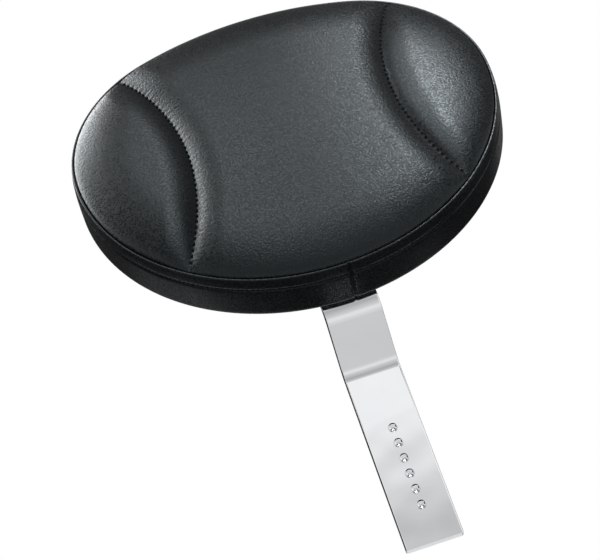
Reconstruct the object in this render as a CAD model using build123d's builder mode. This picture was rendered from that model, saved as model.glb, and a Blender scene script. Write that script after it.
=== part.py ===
from build123d import *
from math import asin, atan2, cos, degrees, radians, sin, sqrt, tan
import os

os.makedirs("parts", exist_ok=True)

# Plug-in rider backrest: an upholstered pad bolted to a flat bar that drops into a bracket.
# Millimetres and degrees. Z runs up the plug end of the post, X across the pad and -Y to the rider.
# The origin is the middle of the plug's lower end.

# Post
post_width = 38.1
post_thickness = 6.35
plug_length = 126.0
rise_length = 44.4
rise_lean = 35.8
flange_length = 122.0
bend_radius = 15.0
flange_corner_radius = 9.0
post_edge_radius = 1.2

# Detents down the front of the plug
detent_count = 6
detent_pitch = 11.0
lowest_detent = 25.7
detent_diameter = 6.4
detent_depth = 1.8

# Pad outline at the front seam: a half circle below, two shoulder arcs and a flatter arc on top
pad_width = 300.0
shoulder_radius = 108.0
top_radius = 230.0
pad_recline = 15.2

# Pad depth
band_height = 32.5
band_flare = 2.6
back_edge_radius = 3.5
crown_height = 14.0
dome_radius = 1900.0
border_slope = 45.0
border_roll_radius = 25.0
largest_roll_share = 0.9

# Sewn cover
band_cover_thickness = 1.5
face_cover_thickness = 3.0
seam_waist = 74.5
seam_radius = 208.0
groove_depth = 3.5
groove_lip_radius = 8.0
groove_lip_lift = 0.4
seam_allowance = 6.0
hem_width = 24.0
hem_clearance = 0.5
join_gap = 0.2

# Board and back panel
board_thickness = 12.0
back_panel_thickness = 2.5
back_panel_inset = 5.0
back_panel_edge_chamfer = 1.0
post_slot_clearance = 0.5

# Post bolts, lock washers and tee nuts
bolt_spacing = 60.0
top_bolt_inset = 18.0
bolt_diameter = 8.0
bolt_length = 18.0
bolt_head_diameter = 14.0
bolt_head_height = 4.4
bolt_head_chamfer = 2.6
bolt_socket_width = 5.0
bolt_socket_depth = 2.6
bolt_hole_clearance = 0.8
washer_diameter = 13.6
washer_thickness = 2.0
washer_split = 1.2
tee_flange_diameter = 22.0
tee_flange_thickness = 1.6
tee_barrel_diameter = 10.4
tee_barrel_length = 9.0
thread_clearance = 0.2

# Back panel screws
panel_screws_per_side = 3
panel_screw_inset = 9.0
panel_screw_diameter = 3.5
panel_screw_length = 11.0
panel_screw_head_diameter = 8.0
panel_screw_head_height = 2.2
panel_screw_head_chamfer = 1.3

# Staples through the hem
staples_per_side = 8
staple_width = 10.0
staple_wire = 0.7
staple_leg = 6.0
staple_inset = 17.0
staple_clearance = 0.1

# Places worked out from the sizes
bend_mid_radius = bend_radius + post_thickness / 2
plug_top = (0, plug_length)
rise_top = (-rise_length * sin(radians(rise_lean)), plug_length + rise_length * cos(radians(rise_lean)))
flange_top = (
    rise_top[0] + flange_length * sin(radians(pad_recline)),
    rise_top[1] + flange_length * cos(radians(pad_recline)),
)

shoulder_x = pad_width / 2 - shoulder_radius
top_centre_y = -sqrt((top_radius - shoulder_radius) ** 2 - shoulder_x**2)
shoulder_angle = degrees(atan2(-top_centre_y, shoulder_x))
pad_top = top_centre_y + top_radius
pad_bottom = -pad_width / 2
pad_mid = (pad_top + pad_bottom) / 2

hem_z = back_panel_thickness + staple_wire + staple_clearance
hem_floor_z = hem_z + band_cover_thickness
board_front_z = back_panel_thickness + board_thickness
seam_z = hem_z + band_height
band_taper = degrees(atan2(band_flare, band_height))

# Plane of the pad's back: x across, y up the pad, z out of the padded face
forward = Vector(0, -cos(radians(pad_recline)), sin(radians(pad_recline)))
upward = Vector(0, sin(radians(pad_recline)), cos(radians(pad_recline)))
back_centre = (
    Vector(0, *rise_top)
    + forward * (post_thickness / 2 - back_panel_thickness)
    + upward * (band_flare + pad_width / 2)
)
pad_back = Plane(origin=back_centre, x_dir=(1, 0, 0), z_dir=forward)
flange_top_y = flange_length - (band_flare + pad_width / 2)
bolt_ys = [flange_top_y - top_bolt_inset - i * bolt_spacing for i in range(2)]

# The crown is a ball far behind the pad; each panel seam is a circle on that ball
dome_centre = pad_back.from_local_coords((0, pad_mid, seam_z + crown_height - dome_radius))
seam_half_angle = asin(seam_radius / dome_radius)
seam_tilt = asin(seam_waist / dome_radius) + seam_half_angle
dome_sag = dome_radius - sqrt(dome_radius**2 - (pad_width / 2) ** 2)
border_length = (crown_height - dome_sag) / cos(radians(border_slope))
border_turn = radians(90 - border_slope)
roll_radius = min(border_roll_radius, largest_roll_share * border_length / tan(border_turn / 2))
lip_centre_y = groove_lip_lift - groove_lip_radius
groove_half_width = sqrt(groove_lip_radius**2 - (lip_centre_y + groove_depth) ** 2)


def half_outline(grow):
    """The right half of the pad's outline, with every arc grown by the same amount."""
    with BuildLine() as outline:
        CenterArc((0, 0), pad_width / 2 + grow, 270, 90)
        CenterArc((shoulder_x, 0), shoulder_radius + grow, 0, shoulder_angle)
        CenterArc((0, top_centre_y), top_radius + grow, shoulder_angle, 90 - shoulder_angle)
    return outline.wire()


def pad_outline(grow=0.0):
    """The edges of the whole outline."""
    half = half_outline(grow)
    return half.edges() + half.mirror(Plane.YZ).edges()


def flare_at(z):
    """How far the band stands outside the front seam at a height above the pad's back."""
    return band_flare * (seam_z - z) / band_height


def ring_places(grow, per_side, z):
    """Places spread evenly along both halves of the outline, with local x along it."""
    half = half_outline(grow)
    places = []
    for i in range(per_side):
        share = (i + 0.5) / per_side
        point, along = half @ share, half % share
        for side in (-1, 1):
            on_ring = Plane((side * point.X, point.Y, 0), x_dir=(side * along.X, along.Y, 0), z_dir=(0, 0, 1))
            places.append(pad_back.offset(z).location * on_ring.location)
    return places


def seam_frame(side):
    """Axis of one panel seam, and the plane of its section on the far side of its circle, off the pad."""
    across = pad_back.x_dir * side
    normal = pad_back.z_dir
    axis_dir = normal * cos(seam_tilt) + across * sin(seam_tilt)
    far_angle = seam_tilt + seam_half_angle
    out = normal * cos(far_angle) + across * sin(far_angle)
    along = across * cos(far_angle) - normal * sin(far_angle)
    far_point = dome_centre + out * dome_radius
    return Axis(dome_centre, axis_dir), Plane(origin=far_point, x_dir=along, z_dir=along.cross(out))


def groove_wire():
    """Section of the groove at a panel seam: two rolled lips that meet at its foot."""
    start = degrees(atan2(-groove_depth - lip_centre_y, groove_half_width))
    rim = 2 * groove_lip_radius
    with BuildLine() as section:
        CenterArc((-groove_half_width, lip_centre_y), groove_lip_radius, start, 90 - start)
        CenterArc((groove_half_width, lip_centre_y), groove_lip_radius, 90, 90 - start)
        Polyline(
            (-groove_half_width, groove_lip_lift), (-groove_half_width, rim),
            (groove_half_width, rim), (groove_half_width, groove_lip_lift),
        )
    return section.wire()


def crowned_face(inset):
    """Solid from the seam plane up to the crown, with a sloping border."""
    with BuildPart() as face:
        with BuildSketch(pad_back.offset(seam_z)):
            make_face(pad_outline(-inset / cos(radians(border_slope))))
        extrude(amount=crown_height, taper=border_slope)
        dome_rim = Plane(origin=dome_centre, x_dir=forward, z_dir=(1, 0, 0))
        with Locations(dome_rim.location):
            Sphere(dome_radius - inset, mode=Mode.INTERSECT)
    return face.part


def tapered_body(inset):
    """The pad behind its front seam, flared to the back."""
    back_z = hem_z + inset
    with BuildPart() as body:
        with BuildSketch(pad_back.offset(back_z)):
            make_face(pad_outline(flare_at(back_z) - inset))
        extrude(amount=seam_z - back_z, taper=band_taper)
    return body.part


def back_rim(body):
    """The edges round the faces of a body that lie furthest to the pad's back."""
    return body.faces().group_by(Axis(back_centre, forward))[0].edges()


def panel_side(side):
    """Cone whose wall passes through one panel seam, from the middle of the crown's ball."""
    axis, section_plane = seam_frame(side)
    reach = dome_radius + crown_height
    return Plane(origin=dome_centre, x_dir=section_plane.x_dir, z_dir=axis.direction) * Cone(
        0, reach * tan(seam_half_angle), reach, align=(Align.CENTER, Align.CENTER, Align.MIN)
    )


def staple_legs(clearance, mode):
    """Both legs of every staple, grown by a clearance."""
    leg_wire = staple_wire + 2 * clearance
    with Locations(*staple_places):
        with GridLocations(staple_width - staple_wire, 0, 2, 1):
            Box(
                leg_wire, leg_wire, staple_leg + clearance,
                align=(Align.CENTER, Align.CENTER, Align.MIN), mode=mode,
            )


hem_edge = band_flare - hem_width
staple_places = ring_places(band_flare - staple_inset, staples_per_side, hem_z - staple_wire)
screw_grow = hem_edge - hem_clearance - panel_screw_inset
screw_places = ring_places(screw_grow, panel_screws_per_side, 0)
head_seat_z = back_panel_thickness - post_thickness - washer_thickness
board_edge_chamfer = (2 - sqrt(2)) * (back_edge_radius - band_cover_thickness)
bolt_axes = [pad_back.location * Pos(0, y, 0) for y in bolt_ys]

# Post
with BuildPart() as post:
    with BuildSketch(Plane.YZ):
        with BuildLine():
            FilletPolyline((0, 0), plug_top, rise_top, flange_top, radius=bend_mid_radius)
        trace(line_width=post_thickness)
    extrude(amount=post_width / 2, both=True)
    flange_end = post.faces().sort_by(Axis.Z)[-1]
    fillet(flange_end.edges().filter_by(Axis(back_centre, forward)), radius=flange_corner_radius)
    with Locations(*bolt_axes):
        Hole((bolt_diameter + bolt_hole_clearance) / 2)
    side_edges = post.faces().filter_by(Axis.X).edges()
    fillet(side_edges.filter_by(Axis(back_centre, forward), reverse=True), radius=post_edge_radius)
    detent_ball = (detent_diameter**2 / 4 + detent_depth**2) / (2 * detent_depth)
    detent_y = -post_thickness / 2 - detent_ball + detent_depth
    with Locations(*[(0, detent_y, lowest_detent + i * detent_pitch) for i in range(detent_count)]):
        Sphere(detent_ball, mode=Mode.SUBTRACT)
post.part.label = "post"
export_step(post.part, "parts/post.step")

# Foam and the board under it; the foam is slit where the panels' seam allowances turn down
with BuildPart() as inner_body:
    add(tapered_body(band_cover_thickness))
    chamfer(back_rim(inner_body), length=board_edge_chamfer)

with BuildPart() as inner_face:
    add(crowned_face(face_cover_thickness))
    for side in (-1, 1):
        axis, section_plane = seam_frame(side)
        with BuildSketch(section_plane):
            Rectangle(2 * face_cover_thickness, 2 * (groove_depth + seam_allowance))
        revolve(axis=axis, mode=Mode.SUBTRACT)

with BuildPart() as foam_core:
    add(inner_body.part)
    split(bisect_by=pad_back.offset(board_front_z), keep=Keep.TOP)
    add(inner_face.part)
foam_core.part.label = "foam_core"
export_step(foam_core.part, "parts/foam_core.step")

with BuildPart() as base_board:
    add(inner_body.part)
    split(bisect_by=pad_back.offset(board_front_z), keep=Keep.BOTTOM)
    with BuildSketch(pad_back.offset(back_panel_thickness)):
        make_face(pad_outline(hem_edge - hem_clearance))
    extrude(amount=hem_floor_z - back_panel_thickness)
    with Locations(pad_back.offset(board_front_z)):
        with Locations(*[(0, y) for y in bolt_ys]):
            CounterBoreHole(tee_barrel_diameter / 2, tee_flange_diameter / 2, tee_flange_thickness)
    with Locations(*screw_places):
        Cylinder(
            panel_screw_diameter / 2 + thread_clearance / 2, panel_screw_length + thread_clearance,
            align=(Align.CENTER, Align.CENTER, Align.MIN), mode=Mode.SUBTRACT,
        )
    staple_legs(staple_clearance, Mode.SUBTRACT)
base_board.part.label = "base_board"
export_step(base_board.part, "parts/base_board.step")

# Sewn cover: three face panels and the band; left and right are as seen from the front
with BuildPart() as face_cover:
    add(crowned_face(0))
    border = face_cover.faces().filter_by(GeomType.SPHERE).edges()
    fillet(border, radius=roll_radius)
    for side in (-1, 1):
        axis, section_plane = seam_frame(side)
        with BuildSketch(section_plane):
            make_face(groove_wire().edges())
        revolve(axis=axis, mode=Mode.SUBTRACT)
    add(inner_face.part, mode=Mode.SUBTRACT)

left_side, right_side = panel_side(-1), panel_side(1)

with BuildPart() as cover_centre_panel:
    add(face_cover.part)
    add(left_side, mode=Mode.SUBTRACT)
    add(right_side, mode=Mode.SUBTRACT)
cover_centre_panel.part.label = "cover_centre_panel"
export_step(cover_centre_panel.part, "parts/cover_centre_panel.step")

with BuildPart() as cover_left_panel:
    add(face_cover.part)
    add(left_side, mode=Mode.INTERSECT)
cover_left_panel.part.label = "cover_left_panel"
export_step(cover_left_panel.part, "parts/cover_left_panel.step")

with BuildPart() as cover_right_panel:
    add(face_cover.part)
    add(right_side, mode=Mode.INTERSECT)
cover_right_panel.part.label = "cover_right_panel"
export_step(cover_right_panel.part, "parts/cover_right_panel.step")

with BuildPart() as side_band:
    add(tapered_body(0))
    fillet(back_rim(side_band), radius=back_edge_radius)
    add(inner_body.part, mode=Mode.SUBTRACT)
    with BuildSketch(pad_back.offset(hem_z)):
        make_face(pad_outline(hem_edge))
    extrude(amount=band_cover_thickness, mode=Mode.SUBTRACT)
    with Locations(pad_back.location * Pos(0, pad_bottom, hem_z)):
        Box(
            join_gap, 2 * (hem_width + band_flare), band_height,
            align=(Align.CENTER, Align.CENTER, Align.MIN), mode=Mode.SUBTRACT,
        )
    staple_legs(staple_clearance, Mode.SUBTRACT)
side_band.part.label = "side_band"
export_step(side_band.part, "parts/side_band.step")

with BuildPart() as cover_staples:
    with Locations(*staple_places):
        Box(staple_width, staple_wire, staple_wire, align=(Align.CENTER, Align.CENTER, Align.MIN))
    staple_legs(0, Mode.ADD)
cover_staples.part.label = "cover_staples"
export_step(cover_staples.part, "parts/cover_staples.step")

# Back panel, slotted for the post's flange, and its screws
slot_length = flange_top_y - pad_bottom + 2 * (band_flare + flange_corner_radius)

with BuildPart() as back_panel:
    with BuildSketch(pad_back):
        make_face(pad_outline(band_flare - back_panel_inset))
        with Locations((0, flange_top_y + post_slot_clearance)):
            RectangleRounded(
                post_width + 2 * post_slot_clearance, slot_length, flange_corner_radius + post_slot_clearance,
                align=(Align.CENTER, Align.MAX), mode=Mode.SUBTRACT,
            )
    extrude(amount=back_panel_thickness)
    chamfer(back_rim(back_panel), length=back_panel_edge_chamfer)
    with Locations(*screw_places):
        Hole(panel_screw_diameter / 2 + thread_clearance / 2)
back_panel.part.label = "back_panel"
export_step(back_panel.part, "parts/back_panel.step")

with BuildPart() as back_panel_screws:
    with Locations(*screw_places):
        Cylinder(
            panel_screw_diameter / 2, panel_screw_length, align=(Align.CENTER, Align.CENTER, Align.MIN)
        )
        Cylinder(
            panel_screw_head_diameter / 2, panel_screw_head_height,
            align=(Align.CENTER, Align.CENTER, Align.MAX),
        )
    chamfer(back_rim(back_panel_screws), length=panel_screw_head_chamfer)
back_panel_screws.part.label = "back_panel_screws"
export_step(back_panel_screws.part, "parts/back_panel_screws.step")

# Bolts, lock washers and tee nuts
with BuildPart() as post_bolts:
    with Locations(*[place * Pos(0, 0, head_seat_z) for place in bolt_axes]):
        Cylinder(bolt_diameter / 2, bolt_length, align=(Align.CENTER, Align.CENTER, Align.MIN))
        Cylinder(
            bolt_head_diameter / 2, bolt_head_height, align=(Align.CENTER, Align.CENTER, Align.MAX)
        )
    chamfer(back_rim(post_bolts), length=bolt_head_chamfer)
    for place in bolt_axes:
        with BuildSketch(Plane(place * Pos(0, 0, head_seat_z - bolt_head_height))):
            RegularPolygon(bolt_socket_width / 2, 6, major_radius=False)
        extrude(amount=bolt_socket_depth, mode=Mode.SUBTRACT)
post_bolts.part.label = "post_bolts"
export_step(post_bolts.part, "parts/post_bolts.step")

with BuildPart() as post_lock_washers:
    with Locations(*[place * Pos(0, 0, head_seat_z) for place in bolt_axes]):
        Cylinder(
            washer_diameter / 2, washer_thickness, align=(Align.CENTER, Align.CENTER, Align.MIN)
        )
        Cylinder(
            bolt_diameter / 2 + thread_clearance, washer_thickness,
            align=(Align.CENTER, Align.CENTER, Align.MIN), mode=Mode.SUBTRACT,
        )
        Box(
            washer_diameter, washer_split, washer_thickness,
            align=(Align.MIN, Align.CENTER, Align.MIN), mode=Mode.SUBTRACT,
        )
post_lock_washers.part.label = "post_lock_washers"
export_step(post_lock_washers.part, "parts/post_lock_washers.step")

with BuildPart() as tee_nuts:
    with Locations(*[place * Pos(0, 0, board_front_z) for place in bolt_axes]):
        Cylinder(
            tee_flange_diameter / 2 - thread_clearance, tee_flange_thickness,
            align=(Align.CENTER, Align.CENTER, Align.MAX),
        )
        Cylinder(
            tee_barrel_diameter / 2 - thread_clearance, tee_flange_thickness + tee_barrel_length,
            align=(Align.CENTER, Align.CENTER, Align.MAX),
        )
        Cylinder(
            (bolt_diameter + thread_clearance) / 2, tee_flange_thickness + tee_barrel_length,
            align=(Align.CENTER, Align.CENTER, Align.MAX), mode=Mode.SUBTRACT,
        )
tee_nuts.part.label = "tee_nuts"
export_step(tee_nuts.part, "parts/tee_nuts.step")
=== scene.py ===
"""Looks of a plug-in rider backrest: a sewn black pad on a bent, chromed flat post. Metres."""
from math import atan2, cos, pi, radians, sin, sqrt

import bmesh
import bpy
import numpy as np
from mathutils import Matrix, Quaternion, Vector


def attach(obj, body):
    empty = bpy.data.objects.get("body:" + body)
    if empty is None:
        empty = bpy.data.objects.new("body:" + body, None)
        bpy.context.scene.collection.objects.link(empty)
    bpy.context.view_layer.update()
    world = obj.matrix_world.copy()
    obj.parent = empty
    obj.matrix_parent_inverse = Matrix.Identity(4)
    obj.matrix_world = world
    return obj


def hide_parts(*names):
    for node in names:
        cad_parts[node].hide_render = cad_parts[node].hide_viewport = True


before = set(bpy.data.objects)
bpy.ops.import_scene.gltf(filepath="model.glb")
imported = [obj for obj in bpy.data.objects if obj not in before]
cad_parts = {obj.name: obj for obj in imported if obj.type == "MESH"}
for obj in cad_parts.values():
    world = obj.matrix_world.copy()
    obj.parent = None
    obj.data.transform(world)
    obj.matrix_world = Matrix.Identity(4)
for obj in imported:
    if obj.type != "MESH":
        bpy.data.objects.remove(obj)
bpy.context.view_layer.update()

# Lean and outline of the pad, as in the part: a half circle, two shoulder arcs and a flatter arc on top
RECLINE = radians(15.2)
SHOULDER_RADIUS = 0.108
TOP_RADIUS = 0.230

# Padded face: a low dome with a rolled border that tucks in behind the lip of the band
CROWN = 0.014
DOME_RADIUS = 1.9
BORDER_WIDTH = 0.042
BORDER_POWER = 2.0
FACE_INSET = 0.0009
FACE_SHELL = 0.0006
TUCK_WIDTH = 0.0008
TUCK_DEPTH = 0.0022

# Panel seams: two arcs bowed towards the middle, in soft grooves; the cover sits a little to the right
COVER_SHIFT = 0.0045
SEAM_WAIST = 0.0745
SEAM_RADIUS = 0.208
GROOVE_WIDTH = 0.021
GROOVE_DEPTH = 0.0068
GROOVE_POWER = 1.6
GROOVE_ROUND = 0.0008
PUCKER_DEPTH = 0.0001
PUCKER_REACH = 0.0035

# Foam: its share of the face's height, and how far it stays inside the cover
FOAM_SHARE = 0.3
FOAM_INSET = 0.0027
FOAM_SINK = 0.0012

# Band round the pad: a lip along the front seam, a channel for the topstitch, a join at the bottom and a hem
BAND_FLARE = 0.0026
LIP_WIDTH = 0.0018
LIP_HEIGHT = 0.0008
LIP_SQUARENESS = 0.8
LIP_TUCK_DEPTHS = (0.0024, 0.0012)
STRIP_FALL = 0.006
TOPSTITCH_DROP = 0.0078
TOPSTITCH_DIP = 0.0006
TOPSTITCH_DIP_WIDTH = 0.0011
JOIN_DIP = 0.0011
JOIN_DIP_WIDTH = 0.0008
BACK_EDGE_RADIUS = 0.0035
HEM_WIDTH = 0.024

# Stitches: their pitch, and the length and radius of one
SEAM_PITCH = 0.0048
SEAM_STITCH = (0.0024, 0.0010)
SEAM_STITCH_SINK = 0.0002
BAND_PITCH = 0.0034
BAND_STITCH = (0.0026, 0.00036)

# Strength of the cover's grain
CENTRE_GRAIN = 0.3
SIDE_GRAIN = 0.18
BAND_GRAIN = 0.075

# Mesh steps
CENTRE_ROWS, CENTRE_COLUMNS = 320, 132
SIDE_ROWS, SIDE_COLUMNS = 260, 72
END_CROWDING = 0.75
FOAM_STEPS, FOAM_RINGS = 240, 60
BAND_STEPS, JOIN_STEPS = 620, 24
LIP_STEPS, BACK_EDGE_STEPS, HEM_STEPS = 15, 6, 5
STRIP_STEPS, CHANNEL_STEPS, WALL_STEPS = 5, 11, 10
STITCH_TURNS, STITCH_RINGS = 8, 6
SEAM_END_HALVINGS = 60

# How far close mesh steps reach at the channel and the join, and where the steps beside the channel start
CHANNEL_HALF = 0.00275
CHANNEL_SIDE = 0.0033
JOIN_HALF = 0.0032

# Camera, from the photograph's view of the pad and post
CAMERA_PLACE = Vector((-0.0986, -0.9951, -0.3076))
CAMERA_AIM = Vector((-0.0216, 0.0311, 0.2205))
CAMERA_ROLL = radians(19.75)
CAMERA_LENS = 99.2
SENSOR = 36.0

# Floor, and the even light of the surround
FLOOR_Z = -0.46
FLOOR_SIZE = 8.0
AMBIENT = 0.9

# Lamps: direction and distance from the pad, size across and along, watts, shift of the aim, spread
LAMPS = {
    "left_lamp": ((-0.62, 0.13, 0.77), 0.8, (0.55, 0.55), 8.5, 0.0, pi),
    "over_lamp": ((-0.04, -0.62, 0.78), 1.1, (0.34, 0.8), 3.3, 0.0, pi),
    "right_lamp": ((0.28, -0.3, 0.46), 0.56, (0.2, 0.3), 0.115, 0.14, radians(25)),
}

# Greys of the glowing cards, as stops of (share, level): painted reflections of light and shade. The shares
# run up an upright card, from back to front on one that faces up, and from front to back on one that faces
# down.
FRONT_GREYS = [(0.0, 0.8), (0.15, 0.7), (0.45, 0.55), (0.6, 0.46), (0.74, 0.48), (0.82, 0.62), (0.98, 1.0)]
DARK_GREYS = [(0.0, 0.02), (1.0, 0.04)]
BACK_GREYS = [(0.0, 0.4), (0.3, 0.34), (0.42, 0.05), (1.0, 0.04)]
LOW_GREYS = [(0.0, 0.3), (0.15, 0.22), (0.32, 0.03), (1.0, 0.02)]
SIDE_GREYS = [(0.0, 0.28), (1.0, 0.25)]
FLOOR_GREYS = [(0.0, 0.66), (0.25, 0.67), (0.5, 0.85), (1.0, 0.85)]
TOP_GREYS = [(0.0, 0.15), (1.0, 0.2)]

# The cards glow: painted light and shade, seen only in reflections, not lamps
# Cards that the chrome and the cover reflect: middle, facing, size across and along, greys
CARDS = {
    "front_card": ((0.0, -1.6, 0.125), (0, 1, 0), (3.0, 1.25), FRONT_GREYS),
    "high_left_card": ((-0.81, -1.6, 1.21), (0, 1, 0), (1.38, 0.7), DARK_GREYS),
    "high_right_card": ((0.94, -1.6, 1.21), (0, 1, 0), (1.12, 0.7), DARK_GREYS),
    "right_card": ((0.8, 0.2, 1.1), (-1, 0, 0), (2.2, 1.1), SIDE_GREYS),
    "top_card": ((0.0, -0.1, 1.5), (0, 0, -1), (3.0, 3.2), TOP_GREYS),
    "right_low_card": ((0.9, 0.85, 0.05), (-1, 0, 0), (1.3, 1.0), DARK_GREYS),
    # The low card and the floor card lie just above the floor: painted shade of the floor under the pad,
    # paler further off
    "low_card": ((0.0, 0.365, -0.44), (0, 0, 1), (3.0, 1.17), LOW_GREYS),
    "floor_card": ((0.0, -1.025, -0.44), (0, 0, 1), (3.0, 1.35), FLOOR_GREYS),
    "left_card": ((-1.5, 0.0, 0.2), (1, 0, 0), (2.0, 1.2), DARK_GREYS),
    "back_card": ((-0.25, 1.4, 0.72), (0, -1, 0), (4.9, 2.16), BACK_GREYS),
}

# Directions of the pad: x across, then up the pad and out of its face
ACROSS = np.array((1.0, 0.0, 0.0))
UPWARD = np.array((0.0, sin(RECLINE), cos(RECLINE)))
FORWARD = np.array((0.0, -cos(RECLINE), sin(RECLINE)))
LEFT, RIGHT = -1, 1

# How close to the front plane a point of the band's front rim lies
RIM_TOLERANCE = 1e-5


def node_points(name):
    """The vertices of a node of the frame."""
    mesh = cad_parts[name].data
    points = np.empty(3 * len(mesh.vertices))
    mesh.vertices.foreach_get("co", points)
    return points.reshape(-1, 3)


# The pad's own frame: its origin is the middle of the lower half circle, on the plane of the front seam
band_points = node_points("side_band")
band_out = band_points @ FORWARD
front_rim = band_points[band_out > band_out.max() - RIM_TOLERANCE]
PAD_HALF = front_rim[:, 0].max()
PAD_ORIGIN = FORWARD * band_out.max() + UPWARD * ((front_rim @ UPWARD).min() + PAD_HALF)
BAND_HEIGHT = np.ptp(band_out)

# Centres, turns and lengths of the arcs of the outline and of the seams, and the middle of the pad's height
SHOULDER_X = PAD_HALF - SHOULDER_RADIUS
TOP_CENTRE = -sqrt((TOP_RADIUS - SHOULDER_RADIUS) ** 2 - SHOULDER_X**2)
SHOULDER_TURN = atan2(-TOP_CENTRE, SHOULDER_X)
PAD_MID = (TOP_CENTRE + TOP_RADIUS - PAD_HALF) / 2
LOW_ARC = PAD_HALF * pi / 2
SHOULDER_ARC = SHOULDER_RADIUS * SHOULDER_TURN
HALF_LENGTH = LOW_ARC + SHOULDER_ARC + TOP_RADIUS * (pi / 2 - SHOULDER_TURN)
SEAM_CENTRE_X = SEAM_WAIST + SEAM_RADIUS


def to_world(local):
    """Points of the pad's frame in the part's frame."""
    return PAD_ORIGIN + local[..., 0:1] * ACROSS + local[..., 1:2] * UPWARD + local[..., 2:3] * FORWARD


def outline(lengths):
    """Points of the pad's outline, and its outward normals, at lengths from the bottom to the right."""
    lengths = lengths % (2 * HALF_LENGTH)
    side = np.where(lengths > HALF_LENGTH, -1.0, 1.0)
    along = np.where(side < 0, 2 * HALF_LENGTH - lengths, lengths)
    arcs = [along < LOW_ARC, along < LOW_ARC + SHOULDER_ARC]
    past_shoulder = along - LOW_ARC - SHOULDER_ARC
    turn = np.select(
        arcs,
        [along / PAD_HALF - pi / 2, (along - LOW_ARC) / SHOULDER_RADIUS],
        SHOULDER_TURN + past_shoulder / TOP_RADIUS,
    )
    radius = np.select(arcs, [PAD_HALF, SHOULDER_RADIUS], TOP_RADIUS)
    centre_x = np.select(arcs, [0.0, SHOULDER_X], 0.0)
    centre_y = np.select(arcs, [0.0, 0.0], TOP_CENTRE)
    normal = np.stack([side * np.cos(turn), np.sin(turn)], -1)
    point = np.stack([side * (centre_x + radius * np.cos(turn)), centre_y + radius * np.sin(turn)], -1)
    return point, normal


def edge_depth(x, y):
    """How far a point of the face lies inside the outline."""
    x = np.abs(x)
    low = PAD_HALF - np.hypot(x, y)
    shoulder = SHOULDER_RADIUS - np.hypot(x - SHOULDER_X, y)
    top = TOP_RADIUS - np.hypot(x, y - TOP_CENTRE)
    on_shoulder = np.arctan2(y, x - SHOULDER_X) < SHOULDER_TURN
    return np.where(y < 0, low, np.where(on_shoulder, shoulder, top))


def seam_depth(x, y):
    """How far a point of the face lies from the nearer panel seam."""
    return np.abs(np.hypot(np.abs(x - COVER_SHIFT) - SEAM_CENTRE_X, y - PAD_MID) - SEAM_RADIUS)


def rolled(share, power):
    """Rises from 0 to 1 like the quarter of a rounded edge."""
    share = np.clip(share, 0.0, 1.0)
    return (1 - (1 - share) ** power) ** (1 / power)


def swell(x, y):
    """Height of the padded face without its seams, and how far it has risen from its edge, from 0 to 1."""
    crown = CROWN - (x**2 + (y - PAD_MID) ** 2) / (2 * DOME_RADIUS)
    border = rolled((edge_depth(x, y) - FACE_INSET) / BORDER_WIDTH, BORDER_POWER)
    return crown * border, border


def face_height(x, y):
    """Height of the padded face above the front seam's plane."""
    height, border = swell(x, y)
    inside = np.maximum(edge_depth(x, y) - FACE_INSET, 0.0)
    from_seam = seam_depth(x, y)
    eased = np.hypot(from_seam, GROOVE_ROUND)
    groove = GROOVE_DEPTH * (1 - rolled(eased / GROOVE_WIDTH, GROOVE_POWER))
    along_seam = np.arctan2(y - PAD_MID, SEAM_CENTRE_X - np.abs(x - COVER_SHIFT)) * SEAM_RADIUS
    pucker = PUCKER_DEPTH * np.cos(2 * pi * along_seam / SEAM_PITCH) * np.exp(-from_seam / PUCKER_REACH)
    tuck = TUCK_DEPTH * np.clip(1 - inside / TUCK_WIDTH, 0.0, 1.0) ** 2
    return height - (groove + pucker) * border - tuck


def seam_point(side, y):
    """Point of a panel seam at a height up the pad."""
    x = SEAM_CENTRE_X - np.sqrt(SEAM_RADIUS**2 - (y - PAD_MID) ** 2)
    return np.stack([COVER_SHIFT + side * x, y], -1)


def seam_end(side, upper):
    """Height up the pad where a panel seam meets the face's edge."""
    near, far = PAD_MID, (TOP_CENTRE + TOP_RADIUS if upper else -PAD_HALF)
    for _ in range(SEAM_END_HALVINGS):
        middle = (near + far) / 2
        x, y = seam_point(side, middle)
        if edge_depth(x, y) > FACE_INSET:
            near = middle
        else:
            far = middle
    return near


# Heights up the pad of the lower and the upper end of each seam
SEAM_ENDS = {side: (seam_end(side, False), seam_end(side, True)) for side in (LEFT, RIGHT)}


def seam_line(side, shares):
    """Points of a panel seam at shares of the height from its lower to its upper end."""
    low, high = SEAM_ENDS[side]
    return seam_point(side, low + (high - low) * shares)


def end_length(side, y):
    """Length along the outline, from the bottom to the right, of a seam's end at a height up the pad."""
    x = side * seam_point(side, y)[0]
    turn = atan2(y, x - SHOULDER_X)
    if y < 0:
        length = PAD_HALF * (atan2(y, x) + pi / 2)
    elif turn < SHOULDER_TURN:
        length = LOW_ARC + SHOULDER_RADIUS * turn
    else:
        length = LOW_ARC + SHOULDER_ARC + TOP_RADIUS * (atan2(y - TOP_CENTRE, x) - SHOULDER_TURN)
    return side * length


def face_edge(lengths):
    """Points of the face's edge, a little inside the outline."""
    point, normal = outline(lengths)
    return point - FACE_INSET * normal


def crowded(count):
    """Shares from 0 to 1 that crowd towards both ends."""
    even = np.linspace(0, 1, count)
    return (1 - END_CROWDING) * even + END_CROWDING * (1 - np.cos(pi * even)) / 2


def new_object(name, mesh, material):
    """An object with smooth faces that rides on the part."""
    mesh.polygons.foreach_set("use_smooth", [True] * len(mesh.polygons))
    mesh.materials.append(material)
    piece = bpy.data.objects.new(name, mesh)
    bpy.context.scene.collection.objects.link(piece)
    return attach(piece, "root")


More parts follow.
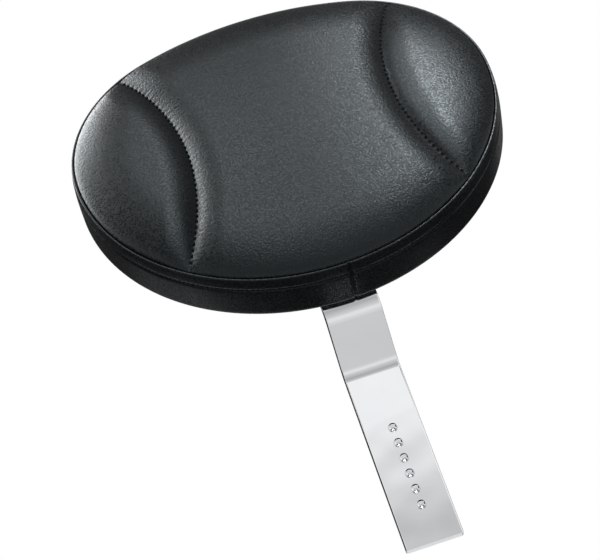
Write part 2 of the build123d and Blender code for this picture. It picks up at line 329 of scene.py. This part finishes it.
def grid_mesh(name, points, closed=False, flip=False):
    """A mesh of quads over rows and columns of points; closed joins the last row to the first."""
    rows, columns = points.shape[:2]
    index = np.arange(rows * columns).reshape(rows, columns)
    if closed:
        index = np.vstack([index, index[:1]])
    quads = np.stack([index[:-1, :-1], index[:-1, 1:], index[1:, 1:], index[1:, :-1]], -1).reshape(-1, 4)
    if flip:
        quads = quads[:, ::-1]
    mesh = bpy.data.meshes.new(name)
    mesh.from_pydata(points.reshape(-1, 3).tolist(), [], quads.tolist())
    mesh.update()
    return mesh


def face_points(flat):
    """Rows of flat points of the face, raised to its height and brought to the part's frame."""
    x, y = flat[..., 0], flat[..., 1]
    return to_world(np.stack([x, y, face_height(x, y)], -1))


def centre_panel_points():
    """The centre panel's grid, from seam to seam and from the outline's bottom to its top."""
    up, over = crowded(CENTRE_ROWS), crowded(CENTRE_COLUMNS)
    left, right = seam_line(LEFT, up), seam_line(RIGHT, up)
    left_low, left_high = (end_length(LEFT, height) for height in SEAM_ENDS[LEFT])
    right_low, right_high = (end_length(RIGHT, height) for height in SEAM_ENDS[RIGHT])
    bottom = face_edge(left_low + (right_low - left_low) * over)
    top = face_edge(left_high + (right_high - 2 * HALF_LENGTH - left_high) * over)
    u, v = up[:, None, None], over[None, :, None]
    ruled = (1 - v) * left[:, None] + v * right[:, None] + (1 - u) * bottom[None] + u * top[None]
    corners = (1 - u) * ((1 - v) * bottom[0] + v * bottom[-1]) + u * ((1 - v) * top[0] + v * top[-1])
    return face_points(ruled - corners)


def side_panel_points(side):
    """A side panel's grid, from its seam out to the outline."""
    up, over = crowded(SIDE_ROWS), crowded(SIDE_COLUMNS)
    seam = seam_line(side, up)
    low, high = (end_length(side, height) for height in SEAM_ENDS[side])
    edge = face_edge(low + (high - low) * up)
    v = over[None, :, None]
    return face_points((1 - v) * seam[:, None] + v * edge[:, None])


def make_face_panel(name, node, points, flip, material):
    """One sewn panel of the padded face, as a thin shell."""
    panel = new_object(name, grid_mesh(name, points, flip=flip), material)
    shell = panel.modifiers.new("shell", "SOLIDIFY")
    shell.thickness = FACE_SHELL
    shell.offset = -1
    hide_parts(node)


def make_foam(material):
    """The foam under the cover, from below the grooves down to the front of the board."""
    lengths = np.linspace(0, 2 * HALF_LENGTH, FOAM_STEPS, endpoint=False)
    point, normal = outline(lengths)
    middle = np.array([0.0, PAD_MID])
    board_front = (node_points("base_board") @ FORWARD).max() - band_out.max()
    edge = point - FOAM_INSET * normal
    shares = crowded(FOAM_RINGS)[1:]
    flat = middle + shares[:, None, None] * (edge - middle)
    height = FOAM_SHARE * swell(flat[..., 0], flat[..., 1])[0] - FOAM_SINK
    top = np.concatenate([flat, height[..., None]], -1)
    foot = np.concatenate([edge, np.full((FOAM_STEPS, 1), board_front)], -1)
    rings = np.swapaxes(np.concatenate([top, foot[None]]), 0, 1)
    mesh = grid_mesh("foam", to_world(rings), closed=True)
    shaped = bmesh.new()
    shaped.from_mesh(mesh)
    bmesh.ops.holes_fill(shaped, edges=shaped.edges, sides=FOAM_STEPS)
    bmesh.ops.recalc_face_normals(shaped, faces=shaped.faces)
    shaped.to_mesh(mesh)
    shaped.free()
    foam = new_object("foam", mesh, material)
    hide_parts("foam_core")


def band_surface(z):
    """How far the side of the band stands outside the outline at a height, which is 0 at the front seam."""
    dip = TOPSTITCH_DIP * np.exp(-(((z + TOPSTITCH_DROP) / TOPSTITCH_DIP_WIDTH) ** 2))
    return BAND_FLARE - (BAND_FLARE - LIP_WIDTH / 2) * np.exp(z / STRIP_FALL) - dip


def band_profile():
    """Section of the band from the lip at its front edge, down the side and under to the end of the hem."""
    lip_turn = np.linspace(pi, 0, LIP_STEPS)
    lip_round = np.stack([np.cos(lip_turn), np.sin(lip_turn)], -1)
    lip = (LIP_WIDTH / 2, LIP_HEIGHT) * np.sign(lip_round) * np.abs(lip_round) ** LIP_SQUARENESS
    tuck = np.array([[lip[0, 0], -depth] for depth in LIP_TUCK_DEPTHS])
    corner_z = BACK_EDGE_RADIUS - BAND_HEIGHT
    down = np.concatenate([
        np.linspace(-LIP_HEIGHT, CHANNEL_SIDE - TOPSTITCH_DROP, STRIP_STEPS),
        np.linspace(CHANNEL_HALF, -CHANNEL_HALF, CHANNEL_STEPS) - TOPSTITCH_DROP,
        np.linspace(-CHANNEL_SIDE - TOPSTITCH_DROP, corner_z, WALL_STEPS),
    ])
    wall = np.stack([band_surface(down), down], -1)
    back_turn = np.linspace(0, -pi / 2, BACK_EDGE_STEPS + 1)[1:]
    back_centre = np.array([wall[-1, 0] - BACK_EDGE_RADIUS, corner_z])
    back = back_centre + BACK_EDGE_RADIUS * np.stack([np.cos(back_turn), np.sin(back_turn)], -1)
    hem_out = np.linspace(back[-1, 0], BAND_FLARE - HEM_WIDTH, HEM_STEPS + 1)[1:]
    hem = np.stack([hem_out, np.full(HEM_STEPS, back[-1, 1])], -1)
    return np.concatenate([tuck, lip, wall, back, hem])


def band_lengths():
    """Lengths round the outline, with close steps at the join in the band."""
    even = np.linspace(0, 2 * HALF_LENGTH, BAND_STEPS, endpoint=False)
    join = (COVER_SHIFT + np.linspace(-JOIN_HALF, JOIN_HALF, JOIN_STEPS)) % (2 * HALF_LENGTH)
    return np.unique(np.concatenate([even, join]))


def make_band(material):
    """The band with its lip, topstitch channel, join and hem."""
    lengths = band_lengths()
    point, normal = outline(lengths)
    profile = band_profile()
    from_join = np.abs((lengths - COVER_SHIFT + HALF_LENGTH) % (2 * HALF_LENGTH) - HALF_LENGTH)
    dip = JOIN_DIP * np.exp(-((from_join / JOIN_DIP_WIDTH) ** 2))
    out = profile[None, :, 0] - dip[:, None]
    flat = point[:, None] + out[..., None] * normal[:, None]
    depth = np.broadcast_to(profile[None, :, 1:], (*out.shape, 1))
    points = to_world(np.concatenate([flat, depth], -1))
    band = new_object("band", grid_mesh("band", points, closed=True), material)
    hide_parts("side_band")


def stitch_row(name, places, along, out, size, material):
    """A row of rounded threads, one at each place; size is the length and the radius of a thread."""
    length, radius = size
    turn = np.linspace(0, 2 * pi, STITCH_TURNS, endpoint=False)
    lean = np.linspace(-pi / 2, pi / 2, STITCH_RINGS)
    stretch = length / 2 * np.sin(lean)
    width = radius * np.sqrt(np.cos(lean))
    across = np.cross(out, along)
    rows = (
        places[:, None, None]
        + stretch[None, :, None, None] * along[:, None, None]
        + width[None, :, None, None] * np.cos(turn)[None, None, :, None] * across[:, None, None]
        + width[None, :, None, None] * np.sin(turn)[None, None, :, None] * out[:, None, None]
    )
    stitch_points = STITCH_RINGS * STITCH_TURNS
    index = np.arange(stitch_points).reshape(STITCH_RINGS, STITCH_TURNS)
    following = np.roll(index, -1, axis=1)
    quads = np.stack([index[:-1], following[:-1], following[1:], index[1:]], -1).reshape(-1, 4)
    first_points = np.arange(len(places)) * stitch_points
    faces = (quads[None] + first_points[:, None, None]).reshape(-1, 4)
    mesh = bpy.data.meshes.new(name)
    mesh.from_pydata(rows.reshape(-1, 3).tolist(), [], faces.tolist())
    mesh.update()
    row = new_object(name, mesh, material)


def unit(vectors):
    """Vectors scaled to length 1."""
    return vectors / np.linalg.norm(vectors, axis=-1, keepdims=True)


def make_topstitch(material):
    """The row of stitches round the band, in its channel."""
    count = int(2 * HALF_LENGTH / BAND_PITCH)
    lengths = (np.arange(count) + 0.5) * 2 * HALF_LENGTH / count
    point, normal = outline(lengths)
    depth = np.full((count, 1), -TOPSTITCH_DROP)
    flat = point + band_surface(depth) * normal
    places = to_world(np.concatenate([flat, depth], -1))
    out = normal[:, :1] * ACROSS + normal[:, 1:] * UPWARD
    along = unit(np.cross(FORWARD, out))
    stitch_row("band_topstitch", places, along, out, BAND_STITCH, material)


def make_seam_stitches(name, side, material):
    """The row of stitches along one panel seam, in the floor of its groove."""
    reach = np.array(SEAM_ENDS[side]) - PAD_MID
    low, high = np.arcsin(reach / SEAM_RADIUS) * SEAM_RADIUS
    count = int((high - low) / SEAM_PITCH)
    turn = (low + (np.arange(1, count) + 0.5) * SEAM_PITCH) / SEAM_RADIUS
    x = COVER_SHIFT + side * (SEAM_CENTRE_X - SEAM_RADIUS * np.cos(turn))
    y = PAD_MID + SEAM_RADIUS * np.sin(turn)
    height = face_height(x, y) - SEAM_STITCH_SINK
    places = to_world(np.stack([x, y, height], -1))
    along = unit(np.gradient(places, axis=0))
    across = unit(np.cross(along, FORWARD))
    stitch_row(name, places, along, unit(np.cross(across, along)), SEAM_STITCH, material)


def new_material(name):
    """A material with its node tree, its shader and coordinates in the part's frame."""
    material = bpy.data.materials.new(name)
    material.use_nodes = True
    tree = material.node_tree
    shader = tree.nodes["Principled BSDF"]
    place = tree.nodes.new("ShaderNodeTexCoord").outputs["Object"]
    return material, tree, shader, place


def noise(tree, place, scale, detail=2.0, rough=0.5, distortion=0.0):
    """A noise texture's value."""
    node = tree.nodes.new("ShaderNodeTexNoise")
    node.inputs["Scale"].default_value = scale
    node.inputs["Detail"].default_value = detail
    node.inputs["Roughness"].default_value = rough
    node.inputs["Distortion"].default_value = distortion
    tree.links.new(place, node.inputs["Vector"])
    return node.outputs["Fac"]


def cells(tree, place, scale, smoothness=1.0):
    """Distance from the middle of the nearest cell, in a texture of softly bounded cells."""
    node = tree.nodes.new("ShaderNodeTexVoronoi")
    node.feature = "SMOOTH_F1"
    node.inputs["Scale"].default_value = scale
    node.inputs["Smoothness"].default_value = smoothness
    tree.links.new(place, node.inputs["Vector"])
    return node.outputs["Distance"]


def grey(level):
    """A grey colour."""
    return (level, level, level)


def ramp(tree, value, stops):
    """A value turned to a colour by stops of (position, colour)."""
    node = tree.nodes.new("ShaderNodeValToRGB")
    elements = node.color_ramp.elements
    while len(elements) < len(stops):
        elements.new(0.5)
    for element, (position, colour) in zip(elements, stops):
        element.position = position
        element.color = (*colour, 1.0)
    tree.links.new(value, node.inputs["Fac"])
    return node.outputs["Color"]


def shade(tree, shader, socket, value, low, high, span=(0.3, 0.7)):
    """Lets a shader's socket go from one colour to another as a value goes over a span."""
    colour = ramp(tree, value, list(zip(span, (low, high))))
    tree.links.new(colour, shader.inputs[socket])


def bump(tree, shader, height, strength, distance, before=None):
    """Adds a bump to a shader, after another one if given."""
    node = tree.nodes.new("ShaderNodeBump")
    node.inputs["Strength"].default_value = strength
    node.inputs["Distance"].default_value = distance
    tree.links.new(height, node.inputs["Height"])
    if before is not None:
        tree.links.new(before, node.inputs["Normal"])
    tree.links.new(node.outputs["Normal"], shader.inputs["Normal"])
    return node.outputs["Normal"]


def cover_material(name, grain):
    """Black vinyl with a soft sheen and a grain of some strength."""
    material, tree, shader, place = new_material(name)
    tone = noise(tree, place, 18, detail=3)
    shade(tree, shader, "Base Color", tone, (0.0026, 0.0030, 0.0032), (0.0042, 0.0047, 0.0050))
    pebbles = cells(tree, place, 660, smoothness=0.3)
    creases = noise(tree, place, 600, detail=4, rough=0.65)
    creased = bump(tree, shader, creases, grain, 0.0006)
    bump(tree, shader, pebbles, grain, 0.0005, before=creased)
    shade(tree, shader, "Roughness", pebbles, grey(0.19), grey(0.42), span=(0.15, 0.75))
    shader.inputs["Specular IOR Level"].default_value = 0.33
    shader.inputs["Specular Tint"].default_value = (0.80, 0.94, 1.0, 1.0)
    return material


def thread_material():
    """Black bonded thread."""
    material, tree, shader, place = new_material("thread")
    shade(tree, shader, "Base Color", noise(tree, place, 900), grey(0.001), grey(0.003))
    twist = noise(tree, place, 3500, detail=1)
    bump(tree, shader, twist, 0.5, 0.0001)
    shader.inputs["Roughness"].default_value = 0.75
    shader.inputs["Specular IOR Level"].default_value = 0.1
    return material


def chrome_material():
    """Polished chrome plate with the faint waves of a hand-polished bar."""
    material, tree, shader, place = new_material("chrome")
    shader.inputs["Metallic"].default_value = 1.0
    tone = noise(tree, place, 30)
    shade(tree, shader, "Base Color", tone, (0.82, 0.84, 0.86), (0.86, 0.875, 0.89))
    haze = noise(tree, place, 160, detail=3)
    shade(tree, shader, "Roughness", haze, grey(0.03), grey(0.075), span=(0.35, 0.75))
    waves = noise(tree, place, 26, detail=1)
    bump(tree, shader, waves, 0.16, 0.004)
    return material


def zinc_material():
    """Bright zinc plate."""
    material, tree, shader, place = new_material("zinc")
    shader.inputs["Metallic"].default_value = 1.0
    tone = noise(tree, place, 120, detail=3)
    shade(tree, shader, "Base Color", tone, (0.50, 0.51, 0.52), (0.66, 0.665, 0.67))
    shade(tree, shader, "Roughness", noise(tree, place, 400), grey(0.26), grey(0.40))
    bump(tree, shader, noise(tree, place, 1500), 0.15, 0.0001)
    return material


def black_steel_material():
    """Black oxide on small screws."""
    material, tree, shader, place = new_material("black_oxide")
    shader.inputs["Metallic"].default_value = 0.6
    shade(tree, shader, "Base Color", noise(tree, place, 300, detail=3), grey(0.018), grey(0.04))
    shade(tree, shader, "Roughness", noise(tree, place, 500), grey(0.38), grey(0.52))
    return material


def back_panel_material():
    """Black moulded plastic with a fine leather-like grain."""
    material, tree, shader, place = new_material("moulded_black")
    shade(tree, shader, "Base Color", noise(tree, place, 40, detail=4), grey(0.015), grey(0.019))
    bump(tree, shader, cells(tree, place, 1100), 0.5, 0.0004)
    shade(tree, shader, "Roughness", noise(tree, place, 60), grey(0.48), grey(0.60))
    return material


def plywood_material():
    """Sanded plywood, with the grain across the pad."""
    material, tree, shader, place = new_material("plywood")
    grain = tree.nodes.new("ShaderNodeMapping")
    grain.inputs["Scale"].default_value = (6.0, 90.0, 90.0)
    tree.links.new(place, grain.inputs["Vector"])
    fibre = noise(tree, grain.outputs["Vector"], 3.0, detail=5, distortion=0.4)
    shade(tree, shader, "Base Color", fibre, (0.46, 0.31, 0.17), (0.68, 0.51, 0.32))
    shader.inputs["Roughness"].default_value = 0.7
    bump(tree, shader, fibre, 0.3, 0.0003)
    return material


def foam_material():
    """Open-cell foam."""
    material, tree, shader, place = new_material("foam")
    pores = noise(tree, place, 900, detail=4, rough=0.7)
    shade(tree, shader, "Base Color", pores, (0.62, 0.55, 0.36), (0.86, 0.80, 0.62))
    shader.inputs["Roughness"].default_value = 0.95
    bump(tree, shader, pores, 0.6, 0.0005)
    return material


def make_pad():
    """The pad: three face panels, the band, the foam and the rows of stitches."""
    centre_cover = cover_material("cover_centre", CENTRE_GRAIN)
    side_cover = cover_material("cover_sides", SIDE_GRAIN)
    band_cover = cover_material("cover_band", BAND_GRAIN)
    thread = thread_material()
    make_face_panel("centre_panel", "cover_centre_panel", centre_panel_points(), False, centre_cover)
    make_face_panel("left_panel", "cover_left_panel", side_panel_points(LEFT), True, side_cover)
    make_face_panel("right_panel", "cover_right_panel", side_panel_points(RIGHT), False, side_cover)
    make_band(band_cover)
    make_foam(foam_material())
    make_topstitch(thread)
    make_seam_stitches("left_seam_stitches", LEFT, thread)
    make_seam_stitches("right_seam_stitches", RIGHT, thread)


def dress_nodes():
    """Gives each node of the frame that still shows its material."""
    zinc = zinc_material()
    dressed = {
        "post": chrome_material(),
        "post_bolts": zinc,
        "post_lock_washers": zinc,
        "tee_nuts": zinc,
        "cover_staples": zinc,
        "back_panel_screws": black_steel_material(),
        "base_board": plywood_material(),
        "back_panel": back_panel_material(),
    }
    for name, material in dressed.items():
        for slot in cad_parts[name].material_slots:
            slot.material = material


def make_camera():
    """The camera at the photograph's place, turned to its roll."""
    data = bpy.data.cameras.new("camera")
    data.sensor_width = SENSOR
    data.lens = CAMERA_LENS
    camera = bpy.data.objects.new("camera", data)
    camera.location = CAMERA_PLACE
    camera.rotation_mode = "QUATERNION"
    look = (CAMERA_AIM - CAMERA_PLACE).to_track_quat("-Z", "Y")
    camera.rotation_quaternion = look @ Quaternion((0, 0, 1), -CAMERA_ROLL)
    bpy.context.scene.collection.objects.link(camera)
    bpy.context.scene.camera = camera


def rectangle_mesh(name, width, length, height=0.0):
    """A flat rectangle round the origin, at some height."""
    x, y = width / 2, length / 2
    corners = [(-x, -y, height), (x, -y, height), (x, y, height), (-x, y, height)]
    mesh = bpy.data.meshes.new(name)
    mesh.from_pydata(corners, [], [(0, 1, 2, 3)])
    return mesh


def make_floor():
    """A plain pale floor, below the camera."""
    mesh = rectangle_mesh("floor", FLOOR_SIZE, FLOOR_SIZE, FLOOR_Z)
    material, tree, shader, place = new_material("floor_paper")
    shade(tree, shader, "Base Color", noise(tree, place, 3), grey(0.795), grey(0.805))
    shader.inputs["Roughness"].default_value = 0.9
    shader.inputs["Specular IOR Level"].default_value = 0.1
    mesh.materials.append(material)
    floor = bpy.data.objects.new("floor", mesh)
    bpy.context.scene.collection.objects.link(floor)


def make_card(name, middle, facing, size, greys):
    """A glowing graded card beside the set, seen only in reflections: painted light and shade."""
    mesh = rectangle_mesh(name, *size)
    material = bpy.data.materials.new(name)
    material.use_nodes = True
    tree = material.node_tree
    tree.nodes.clear()
    place = tree.nodes.new("ShaderNodeTexCoord").outputs["Generated"]
    split = tree.nodes.new("ShaderNodeSeparateXYZ")
    tree.links.new(place, split.inputs["Vector"])
    glow = tree.nodes.new("ShaderNodeEmission")
    stops = [(share, grey(level)) for share, level in greys]
    tree.links.new(ramp(tree, split.outputs["Y"], stops), glow.inputs["Color"])
    output = tree.nodes.new("ShaderNodeOutputMaterial")
    tree.links.new(glow.outputs["Emission"], output.inputs["Surface"])
    mesh.materials.append(material)
    card = bpy.data.objects.new(name, mesh)
    card.location = middle
    card.rotation_mode = "QUATERNION"
    card.rotation_quaternion = Vector(facing).to_track_quat("Z", "Y")
    card.visible_camera = False
    card.visible_diffuse = False
    card.visible_shadow = False
    card.visible_transmission = False
    bpy.context.scene.collection.objects.link(card)


def make_lamp(name, direction, distance, size, watts, aim, spread):
    """A soft lamp that looks at the pad's origin, or at a point to the right of it."""
    data = bpy.data.lights.new(name, "AREA")
    data.shape = "RECTANGLE"
    data.size, data.size_y = size
    data.energy = watts
    data.spread = spread
    lamp = bpy.data.objects.new(name, data)
    towards = Vector(direction).normalized()
    lamp.location = Vector(PAD_ORIGIN) + towards * distance
    lamp.rotation_mode = "QUATERNION"
    target = Vector(PAD_ORIGIN) + Vector((aim, 0, 0))
    lamp.rotation_quaternion = (target - lamp.location).to_track_quat("-Z", "Y")
    bpy.context.scene.collection.objects.link(lamp)


def make_world():
    """A white surround for the camera and for reflections, and a lower even light for the rest."""
    world = bpy.data.worlds.new("surround")
    world.use_nodes = True
    tree = world.node_tree
    rays = tree.nodes.new("ShaderNodeLightPath")
    seen = rays.outputs["Is Camera Ray"]
    for kind in ("Is Glossy Ray", "Is Transmission Ray"):
        either = tree.nodes.new("ShaderNodeMath")
        either.operation = "MAXIMUM"
        tree.links.new(seen, either.inputs[0])
        tree.links.new(rays.outputs[kind], either.inputs[1])
        seen = either.outputs[0]
    level = tree.nodes.new("ShaderNodeMapRange")
    level.inputs["To Min"].default_value = AMBIENT
    level.inputs["To Max"].default_value = 1.0
    tree.links.new(seen, level.inputs["Value"])
    background = tree.nodes["Background"]
    background.inputs["Color"].default_value = (1, 1, 1, 1)
    tree.links.new(level.outputs["Result"], background.inputs["Strength"])
    bpy.context.scene.world = world


make_pad()
dress_nodes()
make_camera()
make_floor()
make_world()
for lamp_name, lamp_values in LAMPS.items():
    make_lamp(lamp_name, *lamp_values)
for card_name, card_values in CARDS.items():
    make_card(card_name, *card_values)
bpy.context.scene.view_settings.view_transform = "Standard"
